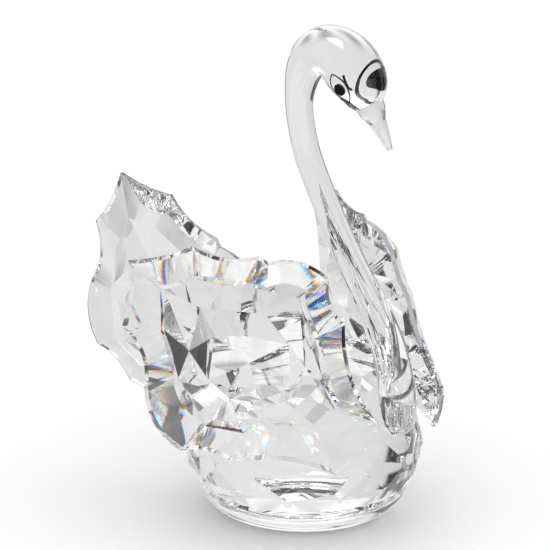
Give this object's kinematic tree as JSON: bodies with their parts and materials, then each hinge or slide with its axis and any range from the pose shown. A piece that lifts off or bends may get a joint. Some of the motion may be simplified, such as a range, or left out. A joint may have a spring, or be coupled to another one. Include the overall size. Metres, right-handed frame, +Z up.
{
  "type": "crystal glass swan figurine",
  "caption": "Clear cut-crystal swan with scalloped plate wings and tail, a bent glass neck, a frosted beak and a round dish foot.",
  "frame": {"origin": "middle of the resting face under the dish", "axes": "+Z up, +X the way the swan looks, the swan's left at +Y"},
  "size_m": [0.1022, 0.0928, 0.1285],
  "materials": {
    "cut_crystal": "polished",
    "clear_glass": "polished",
    "frosted_glass": "satin",
    "black_enamel": "gloss"
  },
  "bodies": {
    "root": {"base_dish": "clear_glass", "hull": "cut_crystal", "right_wing": "cut_crystal", "left_wing": "cut_crystal", "tail_plate": "cut_crystal", "neck_and_head": "clear_glass", "beak": "frosted_glass", "right_pupil": "black_enamel", "left_pupil": "black_enamel", "right_eye_line": "black_enamel", "left_eye_line": "black_enamel"}
  },
  "joints": []
}
